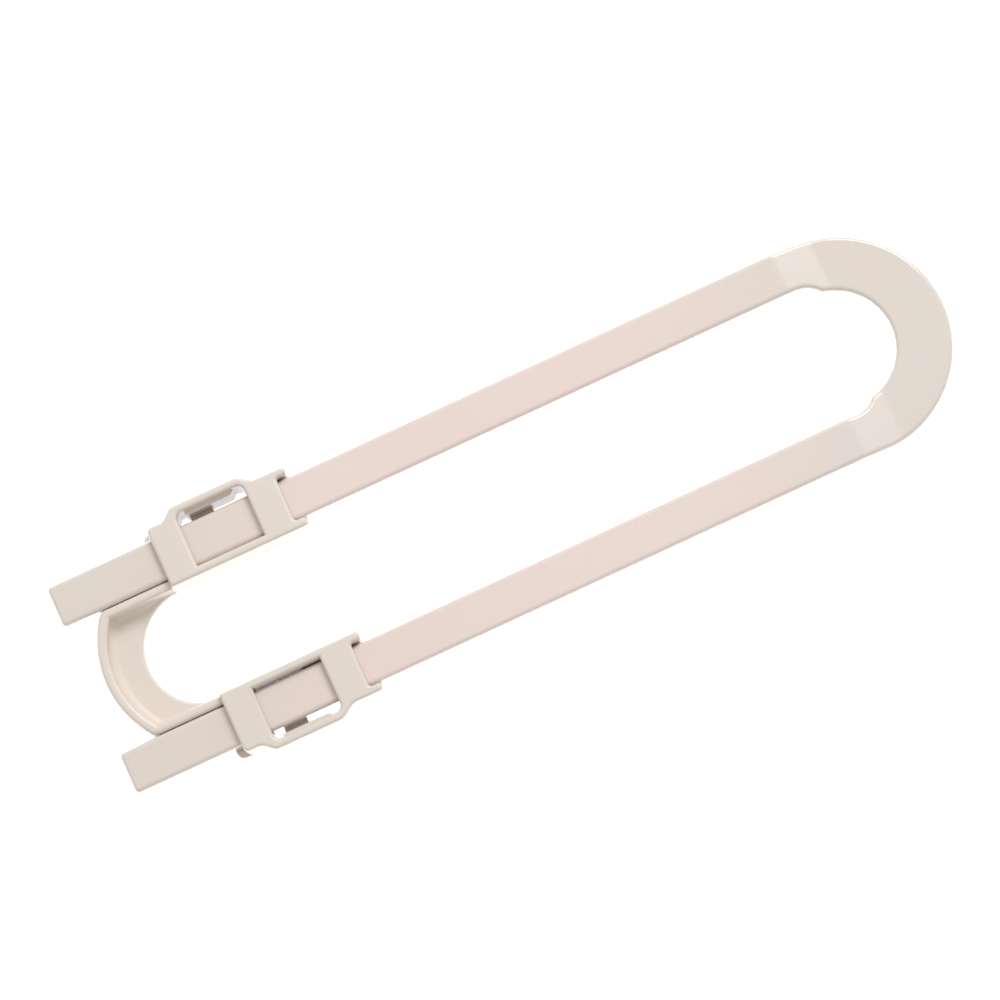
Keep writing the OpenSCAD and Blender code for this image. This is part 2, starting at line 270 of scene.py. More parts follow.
def mirrored(rows):
    """The same rings on the right side, in the order that carries on from the left."""
    return [[Vector((p.x, -p.y, p.z)) for p in row] for row in reversed(rows)]


# Modelling by hand, with the faces and edges chosen by where they are

def object_mode():
    if bpy.context.mode != "OBJECT":
        bpy.ops.object.mode_set(mode="OBJECT")


def deselect():
    object_mode()
    bpy.ops.object.select_all(action="DESELECT")


def edit(piece):
    """Opens a piece for shaping, with nothing chosen."""
    deselect()
    bpy.context.view_layer.objects.active = piece
    piece.select_set(True)
    bpy.ops.object.mode_set(mode="EDIT")
    bpy.ops.mesh.select_mode(type="VERT")
    bpy.ops.mesh.select_all(action="DESELECT")


def shape():
    """The mesh that is open for shaping."""
    return bmesh.from_edit_mesh(bpy.context.edit_object.data)


def choose(kind, test):
    """Selects only the vertices, edges or faces that pass a test, and says how many."""
    bpy.ops.mesh.select_all(action="DESELECT")
    bpy.ops.mesh.select_mode(type=kind)
    mesh = shape()
    parts = {"VERT": mesh.verts, "EDGE": mesh.edges, "FACE": mesh.faces}[kind]
    chosen = [part for part in parts if test(part)]
    for part in chosen:
        part.select_set(True)
    mesh.select_flush_mode()
    bmesh.update_edit_mesh(bpy.context.edit_object.data)
    return len(chosen)


def need(count, what):
    """Stops the script if a choice found nothing."""
    if not count:
        raise RuntimeError(f"nothing was found for {what}")


def middle(part):
    """Middle of an edge or a face."""
    return sum((v.co for v in part.verts), Vector()) / len(part.verts)


def near(a, b, slack=0.01 * MM):
    return abs(a - b) < slack


def extrude(x=0.0, y=0.0, z=0.0):
    bpy.ops.mesh.extrude_region_move(TRANSFORM_OT_translate={"value": (x, y, z)})


def move(x=0.0, y=0.0, z=0.0):
    bpy.ops.transform.translate(value=(x, y, z))


def round_edges(radius, segments):
    bpy.ops.mesh.bevel(offset=radius, offset_type="OFFSET", segments=segments, profile=0.5,
                       affect="EDGES", clamp_overlap=False, loop_slide=False)


def cut(x=None, y=None, z=None, keep=None):
    """Cuts what is chosen at a place along X, Y or Z, and caps the cut where one side goes."""
    normal = [float(value is not None) for value in (x, y, z)]
    place = (x or 0, y or 0, z or 0)
    bpy.ops.mesh.bisect(plane_co=place, plane_no=normal, use_fill=keep is not None,
                        clear_inner=keep == "above", clear_outer=keep == "below",
                        threshold=CUT_SLACK)


def cap(x):
    """Closes what a cut at a place along X has left open."""
    if choose("FACE", lambda f: all(near(v.co.x, x) for v in f.verts)):
        bpy.ops.mesh.delete(type="FACE")
    need(choose("EDGE", lambda e: e.is_boundary and near(middle(e).x, x)), "a cut to close")
    bpy.ops.mesh.edge_face_add()


def weld():
    """Joins points that meet, and turns every face outwards."""
    bpy.ops.mesh.select_all(action="SELECT")
    bpy.ops.mesh.remove_doubles(threshold=WELD)
    bpy.ops.mesh.dissolve_degenerate(threshold=WELD)
    bpy.ops.mesh.select_all(action="SELECT")
    bpy.ops.mesh.normals_make_consistent(inside=False)


def move_each(before, after):
    """Moves the chosen vertices, one by one, from a row of places to another."""
    mesh = shape()
    mesh.verts.ensure_lookup_table()
    fresh = [v.index for v in mesh.verts if v.select]
    row = {}
    for index in fresh:
        co = mesh.verts[index].co
        row[index] = min(range(len(before)), key=lambda i: (before[i] - co).length)
    for index in fresh:
        delta = after[row[index]] - before[row[index]]
        if delta.length > STILL:
            for i in fresh:
                mesh.verts[i].select = i == index
            mesh.select_flush(False)
            bpy.ops.transform.translate(value=delta)
            mesh = shape()
            mesh.verts.ensure_lookup_table()
    for i in fresh:
        mesh.verts[i].select = True
    mesh.select_flush(True)


def run_ring(name, rings, closed=False):
    """Starts with a ring of edges and extrudes it from place to place, as along a path. It
    is capped at both ends, or joined to its own start."""
    deselect()
    count = len(rings[0])
    bpy.ops.mesh.primitive_circle_add(vertices=count, radius=1 * MM, fill_type="NOTHING")
    piece = bpy.context.object
    piece.name = piece.data.name = name
    bpy.ops.object.mode_set(mode="EDIT")
    bpy.ops.mesh.select_mode(type="VERT")
    bpy.ops.mesh.select_all(action="SELECT")
    move_each([v.co.copy() for v in shape().verts], rings[0])
    for before, after in zip(rings, rings[1:]):
        shift = after[0] - before[0]
        extrude(*shift)
        move_each([p + shift for p in before], after)
    if not closed:
        for ring in (rings[0], rings[-1]):
            choose("VERT", lambda v: any((v.co - p).length < WELD for p in ring))
            bpy.ops.mesh.edge_face_add()
    weld()
    return piece


def copy_of(piece, name):
    """A copy of a piece with its own mesh."""
    deselect()
    bpy.context.view_layer.objects.active = piece
    piece.select_set(True)
    bpy.ops.object.duplicate(linked=False)
    twin = bpy.context.object
    twin.name = twin.data.name = name
    return twin


def remove(piece):
    deselect()
    piece.select_set(True)
    bpy.ops.object.delete()


def flip(piece):
    """Turns a left piece into the right one."""
    edit(piece)
    bpy.ops.mesh.select_all(action="SELECT")
    bpy.ops.transform.resize(value=(1, -1, 1), center_override=(0, 0, 0))
    bpy.ops.mesh.normals_make_consistent(inside=False)
    object_mode()


def keep_side(piece, x0=None, x1=None):
    """Leaves what lies between two places along X, and caps the cuts."""
    edit(piece)
    for place, keep in ((x0, "above"), (x1, "below")):
        if place is not None:
            bpy.ops.mesh.select_all(action="SELECT")
            cut(x=place, keep=keep)


def complete(piece, material, node):
    """Smooths and places a finished piece, gives it its plastic and sets it for its node."""
    edit(piece)
    weld()
    object_mode()
    bpy.ops.object.transform_apply(location=True, rotation=True, scale=True)
    bpy.ops.object.shade_smooth_by_angle(angle=SHARP)
    even = piece.modifiers.new("Even shading", "WEIGHTED_NORMAL")
    even.keep_sharp = True
    bpy.ops.object.modifier_apply(modifier=even.name)
    piece.data.materials.clear()
    piece.data.materials.append(material)
    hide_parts(node)
    deselect()


def dress(names, material):
    """Gives the CAD nodes that stay in sight their plastic."""
    for name in names:
        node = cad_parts[name]
        node.data.materials.clear()
        node.data.materials.append(material)


# Shader maths as expressions

class Tree:
    """The nodes of one material."""

    def __init__(self, name):
        self.material = bpy.data.materials.new(name)
        self.material.use_nodes = True
        self.nodes = self.material.node_tree.nodes
        self.links = self.material.node_tree.links
        self.nodes.clear()

    def add(self, kind, settings=None, **inputs):
        """Adds a node: its settings first, then the values or links of its sockets, which are
        named, or numbered as in _6."""
        node = self.nodes.new("ShaderNode" + kind)
        for key, value in (settings or {}).items():
            if key == "stops":
                self.set_stops(node.color_ramp, value)
            else:
                setattr(node, key, value)
        for key, value in inputs.items():
            socket = int(key[1:]) if key[0] == "_" else key.replace("_", " ")
            self.fill(node.inputs[socket], value)
        return node

    def mix(self, part, first, second, blend="MIX"):
        """The mix of two colours."""
        node = self.add("Mix", {"data_type": "RGBA", "blend_type": blend},
                        _0=part, _6=first, _7=second)
        return node.outputs[2]

    def set_stops(self, ramp, stops):
        while len(ramp.elements) < len(stops):
            ramp.elements.new(1.0)
        for element, (place, level) in zip(ramp.elements, stops):
            element.position = place
            element.color = (level, level, level, 1)

    def fill(self, socket, value):
        if isinstance(value, Number):
            self.links.new(value.socket, socket)
        elif isinstance(value, bpy.types.NodeSocket):
            self.links.new(value, socket)
        else:
            socket.default_value = value

    def number(self, node, output=0):
        """An output of a node, for use in sums."""
        return Number(self, node.outputs[output])


class Number:
    """A socket that can be used in sums."""

    def __init__(self, tree, socket):
        self.tree = tree
        self.socket = socket

    def math(self, operation, *values):
        node = self.tree.add("Math", {"operation": operation})
        for socket, value in zip(node.inputs, values):
            self.tree.fill(socket, value)
        return self.tree.number(node)

    def __add__(self, other):
        return self.math("ADD", self, other)

    def __radd__(self, other):
        return self.math("ADD", other, self)

    def __sub__(self, other):
        return self.math("SUBTRACT", self, other)

    def __rsub__(self, other):
        return self.math("SUBTRACT", other, self)

    def __mul__(self, other):
        return self.math("MULTIPLY", self, other)

    def __rmul__(self, other):
        return self.math("MULTIPLY", other, self)


# The tints of the moulding's patches, which its colour is multiplied by
WARM_PATCH = (0.98, 0.965, 0.95, 1)
COOL_PATCH = (1.02, 1.03, 1.04, 1)
# Squares of the distances along the lock where the painted shade of its ends starts and is full
END_SHADE_START = 0.001
END_SHADE_FULL = 0.007


def moulded_plastic(name, base, ends, roughness, gloss, gloss_blur, grain, rub_stretch,
                    matt_below=None):
    """Satin-gloss plastic: painted shade, darker and less pink towards the ends where the light
    falls off; warm and cool patches from the moulding, fine grain, and faint rubbing along the
    arms."""
    old = bpy.data.materials.get(name)
    if old:
        return old
    tree = Tree(name)
    place = tree.add("TexCoord").outputs["Object"]

    def noise(scale, detail, rough, stretch=None):
        vector = place
        if stretch:
            vector = tree.add("Mapping", Scale=stretch, Vector=place).outputs["Vector"]
        return tree.number(tree.add("TexNoise", Vector=vector, Scale=scale, Detail=detail,
                                    Roughness=rough))

    def rise(value, start, full, top=1.0):
        """Goes smoothly from 0 up to the top as a value goes from the start to the full."""
        return tree.number(tree.add("MapRange", {"interpolation_type": "SMOOTHSTEP"},
                                    Value=value, From_Min=start, From_Max=full, To_Max=top))

    clouds = noise(scale=18, detail=3, rough=0.5)
    flow = noise(scale=60, detail=2, rough=0.6, stretch=(0.25, 1, 1))
    speckle = noise(scale=900, detail=2, rough=0.6)
    fine = noise(scale=4200, detail=3, rough=0.65)
    rub = noise(scale=420, detail=4, rough=0.7, stretch=rub_stretch)
    worn = tree.number(tree.add("ValToRGB", {"stops": ((0.6, 0.0), (0.8, 1.0))}, Fac=rub))
    cool = (clouds - 0.5) * 0.9 + (flow - 0.5) * 0.5 + 0.5
    apart = tree.add("SeparateXYZ", Vector=place)
    along = tree.number(apart, "X")
    # Painted shade: the colour goes darker towards the tails and the bend, where the light falls
    # off
    far = rise(along * along + (clouds - 0.5) * 0.003, END_SHADE_START, END_SHADE_FULL)
    end_shade = tree.mix(far, [*base, 1], [*ends, 1])
    patches = tree.mix(1.0, end_shade, tree.mix(cool, WARM_PATCH, COOL_PATCH), "MULTIPLY")
    dots = tree.mix((speckle - 0.5) * 0.04 + worn * 0.02 + 0.05, patches,
                    [min(1, c * 1.06) for c in base] + [1])
    tone = roughness + (clouds - 0.5) * 0.06 + (speckle - 0.5) * 0.02 + worn * 0.03
    height = fine * 0.5 + speckle * 0.3 + worn * 0.2
    coat = gloss
    if matt_below:
        coat = rise(tree.number(apart, "Z"), matt_below - 1.3 * MM, matt_below - 0.2 * MM, gloss)
        tone = tone + (gloss - coat) * 0.12
    bump = tree.add("Bump", Strength=grain, Distance=0.01 * MM, Height=height)
    shader = tree.add("BsdfPrincipled", Base_Color=dots, Roughness=tone, IOR=1.5,
                      Coat_Weight=coat, Coat_Roughness=gloss_blur, Coat_IOR=1.4,
                      Normal=bump.outputs["Normal"])
    tree.add("OutputMaterial", Surface=shader.outputs["BSDF"])
    return tree.material


def bar_plastic():
    look = bpy.context.scene.lock_colours
    return moulded_plastic("moulded_bar", look.bar, look.bar_shaded_ends, look.bar_roughness,
                           look.bar_gloss, gloss_blur=0.12, grain=look.grain,
                           rub_stretch=(0.05, 1, 1))


def slider_plastic(name="moulded_slider", matt_below=None):
    look = bpy.context.scene.lock_colours
    return moulded_plastic(name, look.slider, look.slider, look.roughness, look.gloss,
                           gloss_blur=0.32, grain=look.grain, rub_stretch=(0.3, 1, 1),
                           matt_below=matt_below)


def bridge_plastic():
    """The slider's plastic, with a finer matt finish down in the dish."""
    return slider_plastic("moulded_bridge", matt_below=RIM_TOP)


def ramp_height(x):
    """Height of the bar's underside at a place along it, with its creases rounded."""
    sizes = bar_sizes()
    half = sizes.crease / 2
    end = BEND_X + sizes.ramp_past

    def past(crease):
        if x < crease - half:
            return 0.0
        if x > crease + half:
            return x - crease
        return (x - crease + half) ** 2 / (4 * half)

    return ARM_Z * (1 - (past(RAMP_X) - past(end)) / (end - RAMP_X))


def hairpin_rows():
    """Places of the bar's inner and outer edge, from the left tail to the bend's middle."""
    sizes = bar_sizes()
    half = sizes.crease / 2
    hole_c = BEND_X - sizes.hole_set
    hole_x = BEND_X + sizes.hole_start
    hole_y = math.sqrt(sizes.hole_r ** 2 - (hole_x - hole_c) ** 2)
    lead_x = hole_x - sizes.lead_r * math.sin(math.acos(1 - (ARM_IN - hole_y) / sizes.lead_r))
    end = BEND_X + sizes.ramp_past

    def inner_y(x):
        if x < hole_x:
            lead = max(x, lead_x) - lead_x
            return ARM_IN - sizes.lead_r + math.sqrt(sizes.lead_r ** 2 - lead ** 2)
        return math.sqrt(sizes.hole_r ** 2 - (x - hole_c) ** 2)

    def outer_y(x):
        return ARM_OUT if x < BEND_X else math.sqrt(ARM_OUT ** 2 - (x - BEND_X) ** 2)

    # Rows that must be there, and those that follow the curves where they stay clear of these
    lead_steps, hole_steps, fan_steps = 8, 5, 6
    clear = 0.15 * MM
    fixed = [TAIL_X - SPARE, STOP_X, STOP_X + sizes.rib, RAMP_X - half, lead_x, BEND_X,
             hole_x, end + half]
    soft = (spread(RAMP_X - half, RAMP_X + half, CREASE_STEPS)
            + spread(lead_x, hole_x, lead_steps) + spread(hole_x, end + half, hole_steps)
            + spread(end - half, end + half, CREASE_STEPS))
    xs = sorted(fixed + [x for x in soft if all(abs(x - f) > clear for f in fixed)])
    rows = [(flat(x, inner_y(x)), flat(x, outer_y(x))) for x in xs]

    def rib_side(angle, side):
        """Angles where one side of a rib meets the hole and the outside of the bend."""
        turn = on_circle(0, 0, 1, angle)
        off = flat(-turn.y, turn.x) * side * sizes.rib / 2
        start = flat(sizes.hole_set, 0) + off
        run = -start.dot(turn) + math.sqrt(start.dot(turn) ** 2 - start.length_squared
                                           + sizes.hole_r ** 2)
        at = start + turn * run
        far = off + turn * math.sqrt(ARM_OUT ** 2 - off.length_squared)
        return math.atan2(at.y, at.x), math.atan2(far.y, far.x)

    # Round the bend from rib to rib and straight across each, up to the one in the middle
    inner, outer = rows[-1]
    keys = [(math.atan2(inner.y, inner.x - hole_c), math.atan2(outer.y, outer.x - BEND_X))]
    for angle in RIB_ANGLES:
        keys += [rib_side(math.radians(angle), 1), rib_side(math.radians(angle), -1)]
    for i, (a, b) in enumerate(zip(keys, keys[1:-1])):
        steps = fan_steps if i % 2 == 0 else 1
        for part in spread(0, 1, steps)[1:]:
            rows.append((on_circle(hole_c, 0, sizes.hole_r, between(a[0], b[0], part)),
                         on_circle(BEND_X, 0, ARM_OUT, between(a[1], b[1], part))))
    return rows


def model_hairpin():
    """The whole bar: its outline run round, top edges rounded, hollowed below with its ribs
    and stops, its tails cut open."""
    sizes = bar_sizes()
    depth = ARM_TOP - ARM_Z
    rings = []
    for inner, outer in hairpin_rows():
        z = ramp_height(inner.x)
        rings.append([inner + up(z), outer + up(z), outer + up(z + depth), inner + up(z + depth)])
    bar = run_ring("hairpin", rings + mirrored(rings))

    def along_top(edge):
        if len(edge.link_faces) != 2 or all(near(v.co.x, TAIL_X - SPARE) for v in edge.verts):
            return False
        tilts = sorted(face.normal.z for face in edge.link_faces)
        return abs(tilts[0]) < UPRIGHT and tilts[1] > SLOPED

    edit(bar)
    need(choose("EDGE", along_top), "the bar's top edges")
    round_edges(sizes.edge, EDGE_STEPS)

    need(choose("FACE", lambda f: f.normal.z < -SLOPED), "the bar's underside")
    bpy.ops.mesh.inset(thickness=sizes.wall, use_boundary=True, use_even_offset=True)
    extrude(z=sizes.rib_lift)

    # The ribs stay at this height, and the rest goes on up
    spokes = [on_circle(0, 0, 1, math.radians(angle)) for angle in RIB_ANGLES]
    near_middle = sizes.rib * 0.4

    def under_rib(face):
        at = middle(face)
        if STOP_X < at.x < STOP_X + sizes.rib:
            return True
        place = flat(at.x - BEND_X, abs(at.y))
        return any(place.dot(spoke) > 0 and place.cross(spoke).length < near_middle
                   for spoke in spokes)

    mesh = shape()
    for face in mesh.faces:
        if face.select and under_rib(face):
            face.select_set(False)
    bmesh.update_edit_mesh(bar.data)
    extrude(z=depth - sizes.wall - sizes.rib_lift)

    bpy.ops.mesh.select_all(action="SELECT")
    cut(x=TAIL_X, keep="above")

    def round_tail(edge):
        at = middle(edge)
        if not all(near(v.co.x, TAIL_X) for v in edge.verts) or edge.is_boundary:
            return False
        skin = 0.5 * MM
        channel = ARM_IN + skin < abs(at.y) < ARM_OUT - skin and at.z < ARM_TOP - sizes.edge
        return not near(at.z, ARM_Z) and not channel

    need(choose("EDGE", round_tail), "the tail ends")
    round_edges(sizes.corner, CORNER_STEPS)
    weld()
    object_mode()
    return bar


class LOCK_OT_hairpin(bpy.types.Operator):
    """Model the two arms and the bend that joins them"""
    bl_idname = "lock.hairpin"
    bl_label = "Hairpin bar"

    def execute(self, context):
        whole = model_hairpin()
        clear = 0.3 * MM
        seam = RAMP_X - bar_sizes().crease / 2 - clear
        bend = copy_of(whole, "end_bend_shell")
        keep_side(bend, x0=seam)
        complete(bend, bar_plastic(), "end_bend")
        for name, side in (("left", 1), ("right", -1)):
            arm = copy_of(whole, name + "_arm_shell")
            keep_side(arm, x1=seam)
            choose("VERT", lambda v: v.co.y * side < 0)
            bpy.ops.mesh.delete(type="VERT")
            complete(arm, bar_plastic(), name + "_arm")
            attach(arm, "hairpin")
        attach(bend, "hairpin")
        remove(whole)
        dress(("left_rack", "right_rack"), bar_plastic())
        return {"FINISHED"}


def ladder_rows():
    """Places of the window's edge and of the outline round it, once round from the rail."""
    sizes = slider_sizes()
    wall_out, wall_in = outer_wall()
    bow_in = BOW_OUT - sizes.bow
    rail_root = RAIL_END_X - sizes.rail_past + sizes.root_corner
    root_x = WINDOW_END_X - sizes.root_ahead
    tail_root_x = WINDOW_X - sizes.tail_root
    bend_root_x = WINDOW_END_X + sizes.bend_root
    root, corner, fillet = sizes.root_corner, sizes.corner, sizes.fillet
    fillet_y = bow_in - fillet

    def bow_y(x):
        if x < WINDOW_X:
            return wall_out + sizes.bow_rise * ease((x - tail_root_x) / sizes.tail_root)
        return wall_out + sizes.bow_rise * (1 - ease((x - root_x) / (bend_root_x - root_x)))

    def arc(x, y, radius, degrees):
        return on_circle(x, y, radius, math.radians(degrees)).xy

    def up_side(x, part):
        """A place on the window's side, part of the way from the wall to the rounded corner."""
        return x, between(wall_in, fillet_y, part)

    # Along the rail and the end of the strap, rounded where it meets the rail and the wall
    rows = [((WINDOW_X, RAIL_OUT), (WINDOW_X, RAIL_IN)),
            ((WINDOW_END_X, RAIL_OUT), (WINDOW_END_X, RAIL_IN)),
            ((WINDOW_END_X, RAIL_OUT), (rail_root, RAIL_IN)),
            ((WINDOW_END_X, RAIL_OUT), (rail_root, RAIL_OUT))]
    for part in spread(0, 1, CORNER_STEPS)[1:]:
        rows.append(((WINDOW_END_X, RAIL_OUT + root * part),
                     arc(rail_root, RAIL_OUT + root, root, 270 - 90 * part)))
    for part in spread(0, 1, CORNER_STEPS):
        rows.append(((WINDOW_END_X, wall_in - root + root * part),
                     arc(rail_root, wall_in - root, root, 180 - 90 * part)))

    # Along the outer wall and out to the thumb bar
    rows += [(up_side(WINDOW_END_X, 0.35), (rail_root, wall_out)),
             (up_side(WINDOW_END_X, 0.7), (bend_root_x + 2 * MM, wall_out)),
             (up_side(WINDOW_END_X, 1), (bend_root_x, wall_out))]
    steps = 8
    for i, x in enumerate(spread(bend_root_x, root_x, steps)[1:], start=1):
        rows.append((arc(WINDOW_END_X - fillet, fillet_y, fillet, 90 * i / steps), (x, bow_y(x))))

    # Along the thumb bar and back to the wall
    for x in (PAD_END_X - 1 * MM, PAD_X + 1.5 * MM, WINDOW_X + fillet):
        rows.append(((x, bow_in), (x, BOW_OUT)))
    steps = 10
    for i, x in enumerate(spread(WINDOW_X + fillet / 2, tail_root_x, steps - 1), start=1):
        rows.append((arc(WINDOW_X + fillet, fillet_y, fillet, 90 + 90 * i / steps),
                     (x, bow_y(x))))

    # Round the collar's corner and along its tail side, back to the rail
    for i, part in enumerate((0.6, 0.5, 0.4, 0.3, 0.15)):
        rows.append((up_side(WINDOW_X, part), arc(COLLAR_X + corner, wall_out - corner, corner,
                                                  90 + 90 * i / CORNER_STEPS)))
    rows += [((WINDOW_X, wall_in), (COLLAR_X, wall_in)),
             ((WINDOW_X, RAIL_OUT), (COLLAR_X, RAIL_OUT)),
             ((WINDOW_X, RAIL_OUT), (COLLAR_X, RAIL_IN)),
             ((WINDOW_X, RAIL_OUT), (WINDOW_X, RAIL_IN))]
    return rows


def join_feet():
    """Joins the rail's foot to the wall's under each strap, as the slider's base."""
    base = slider_sizes().base
    wall_in = outer_wall()[1]
    for a, b in ((COLLAR_X, WINDOW_X), (WINDOW_END_X, RAIL_END_X)):
        def foot(face):
            at = middle(face)
            return (a < at.x < b and at.z < base and abs(face.normal.y) > FLAT
                    and (near(at.y, RAIL_OUT) or near(at.y, wall_in)))

        need(choose("FACE", foot), "the rail's and the wall's feet")
        bpy.ops.mesh.dissolve_faces()
        bpy.ops.mesh.bridge_edge_loops()


def add_tongue():
    """Runs the base on under the window as a tongue, beside the rail."""
    sizes = slider_sizes()
    wall_in = outer_wall()[1]
    tongue_x = WINDOW_END_X - sizes.tongue
    tongue_y = (ARM_IN + ARM_OUT) / 2
    need(choose("FACE", lambda f: near(middle(f).y, RAIL_OUT) and middle(f).z < sizes.base
                and WINDOW_X < middle(f).x < WINDOW_END_X), "the rail's foot by the window")
    cut(x=tongue_x)
    need(choose("FACE", lambda f: near(middle(f).x, WINDOW_END_X) and f.normal.x < -FLAT
                and middle(f).z < sizes.base and RAIL_OUT < middle(f).y < wall_in),
         "the base's end by the window")
    cut(y=tongue_y)
    need(choose("FACE", lambda f: near(middle(f).y, RAIL_OUT) and middle(f).z < sizes.base
                and tongue_x < middle(f).x < WINDOW_END_X), "the tongue's root")
    extrude(y=tongue_y - RAIL_OUT)
    weld()
    need(choose("FACE", lambda f: near(middle(f).x, WINDOW_END_X) and middle(f).z < sizes.base
                and RAIL_OUT < middle(f).y < tongue_y), "the seam behind the tongue")
    bpy.ops.mesh.delete(type="FACE")
    need(choose("EDGE", lambda e: near(middle(e).x, tongue_x) and near(middle(e).y, tongue_y)),
         "the tongue's corner")
    round_edges(sizes.corner, CORNER_STEPS)


def add_lip():
    """Runs the base on past the collar as a lip, whose corner is rounder than the collar's."""
    sizes = slider_sizes()
    wall_out = outer_wall()[0]
    need(choose("FACE", lambda f: middle(f).x < COLLAR_X + sizes.corner
                and middle(f).z < sizes.base and middle(f).y > RAIL_OUT
                and f.normal.x < -UPRIGHT), "the lip's root")
    extrude(x=LIP_X - COLLAR_X)
    choose("VERT", lambda v: near(v.co.z, 0) and near(v.co.y, RAIL_OUT)
           and v.co.x < COLLAR_X + WELD)
    move(y=bridge_sizes().closer)
    before, after = [], []
    for degrees in spread(90, 180, CORNER_STEPS):
        for z in (0, sizes.base):
            for places, radius in ((before, sizes.corner), (after, sizes.lip_corner)):
                places.append(on_circle(LIP_X + radius, wall_out - radius, radius,
                                        math.radians(degrees)) + up(z))
    choose("VERT", lambda v: any((v.co - p).length < 10 * WELD for p in before))
    move_each(before, after)


def model_ladder():
    """A buckle and its thumb bar in one: the outline round the window, its rail ends, its
    walls, rails and base, and its rounded top edges."""
    sizes = slider_sizes()
    wall_in = outer_wall()[1]
    rail_root = RAIL_END_X - sizes.rail_past + sizes.root_corner
    strap_z = SLIDER_TOP - sizes.strap
    rings = []
    for window, outline in ladder_rows():
        inner, outer = flat(*window), flat(*outline)
        rings.append([inner + up(strap_z), outer + up(strap_z), outer + up(SLIDER_TOP),
                      inner + up(SLIDER_TOP)])
    ladder = run_ring("ladder", rings, closed=True)
    edit(ladder)

    need(choose("FACE", lambda f: near(middle(f).x, rail_root) and f.normal.x > FLAT),
         "the rails' ends")
    extrude(x=RAIL_END_X - rail_root)
    need(choose("EDGE", lambda e: near(middle(e).x, RAIL_END_X)
                and near(middle(e).z, (strap_z + SLIDER_TOP) / 2)), "the rails' end corners")
    round_edges(sizes.end_corner, EDGE_STEPS)

    need(choose("FACE", lambda f: f.normal.z < -FLAT
                and (middle(f).y < RAIL_OUT or middle(f).y > wall_in)), "the walls' roots")
    extrude(z=sizes.base - strap_z)
    extrude(z=-sizes.base)
    weld()
    join_feet()
    add_tongue()
    add_lip()

    def top_outline(edge):
        if len(edge.link_faces) != 2 or not all(near(v.co.z, SLIDER_TOP) for v in edge.verts):
            return False
        return min(face.normal.z for face in edge.link_faces) < UPRIGHT

    need(choose("EDGE", top_outline), "the top edges")
    round_edges(sizes.edge, EDGE_STEPS)
    weld()
    object_mode()
    return ladder


class LOCK_OT_buckles(bpy.types.Operator):
    """Model the two buckles that ride on the arms"""
    bl_idname = "lock.buckles"
    bl_label = "Buckles"

    def execute(self, context):
        wall_in = outer_wall()[1]
        left = model_ladder()
        left.name = left.data.name = "left_buckle_shell"
        edit(left)
        for place in (WINDOW_X, WINDOW_END_X):
            choose("FACE", lambda f: middle(f).y > wall_in)
            cut(x=place)
        need(choose("FACE", lambda f: WINDOW_X < middle(f).x < WINDOW_END_X
                    and middle(f).y > wall_in), "the thumb bar")
        bpy.ops.mesh.delete(type="FACE")
        for place in (WINDOW_X, WINDOW_END_X):
            need(choose("EDGE", lambda e: e.is_boundary and near(middle(e).x, place)),
                 "the cut through the thumb bar")
            bpy.ops.mesh.edge_face_add()
        right = copy_of(left, "right_buckle_shell")
        flip(right)
        for piece, name in ((left, "left"), (right, "right")):
            complete(piece, slider_plastic(), name + "_buckle")
            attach(piece, "slider")
        return {"FINISHED"}


def model_thumb_bars():
    """A thumb bar and its flexures in one, cut out of a whole ladder."""
    wall_in = outer_wall()[1]
    whole = model_ladder()
    edit(whole)
    for place in (WINDOW_X, WINDOW_END_X):
        bpy.ops.mesh.select_all(action="SELECT")
        cut(x=place)
    choose("VERT", lambda v: v.co.y < wall_in - WELD or v.co.x < WINDOW_X - WELD
           or v.co.x > WINDOW_END_X + WELD)
    bpy.ops.mesh.delete(type="VERT")
    for place in (WINDOW_X, WINDOW_END_X):
        cap(place)
    choose("VERT", lambda v: near(v.co.z, 0))
    move(z=BOW_Z)
    weld()
    return whole


def add_pad():
    """Adds the wedge-shaped pad inside a thumb bar, thinner at its bend end."""
    sizes = slider_sizes()
    bow_in = BOW_OUT - sizes.bow
    bpy.ops.mesh.select_all(action="SELECT")
    cut(z=sizes.pad_top)
    need(choose("FACE", lambda f: f.normal.y < -FLAT and middle(f).z < sizes.pad_top),
         "the pad's place")
    extrude(y=PAD_Y - bow_in)
    choose("VERT", lambda v: near(v.co.x, PAD_END_X) and near(v.co.y, PAD_Y))
    move(y=bow_in - sizes.pad_thin - PAD_Y)


class LOCK_OT_thumb_bars(bpy.types.Operator):
    """Model the thumb bars, the thin ends that bend, and finish the pawls"""
    bl_idname = "lock.thumb_bars"
    bl_label = "Thumb bars"

    def execute(self, context):
        whole = model_thumb_bars()
        parts = (("tail_flexure", None, PAD_X), ("thumb_bar", PAD_X, PAD_END_X),
                 ("bend_flexure", PAD_END_X, None))
        for part, x0, x1 in parts:
            left = copy_of(whole, "left_" + part + "_shell")
            keep_side(left, x0=x0, x1=x1)
            if part == "thumb_bar":
                add_pad()
            right = copy_of(left, "right_" + part + "_shell")
            flip(right)
            for piece, side in ((left, "left"), (right, "right")):
                node = side + "_" + part
                complete(piece, slider_plastic(), node)
                if part == "thumb_bar":
                    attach(piece, side + "_button")
                else:
                    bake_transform(piece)
        remove(whole)
        dress(("left_pawl", "right_pawl"), slider_plastic())
        return {"FINISHED"}


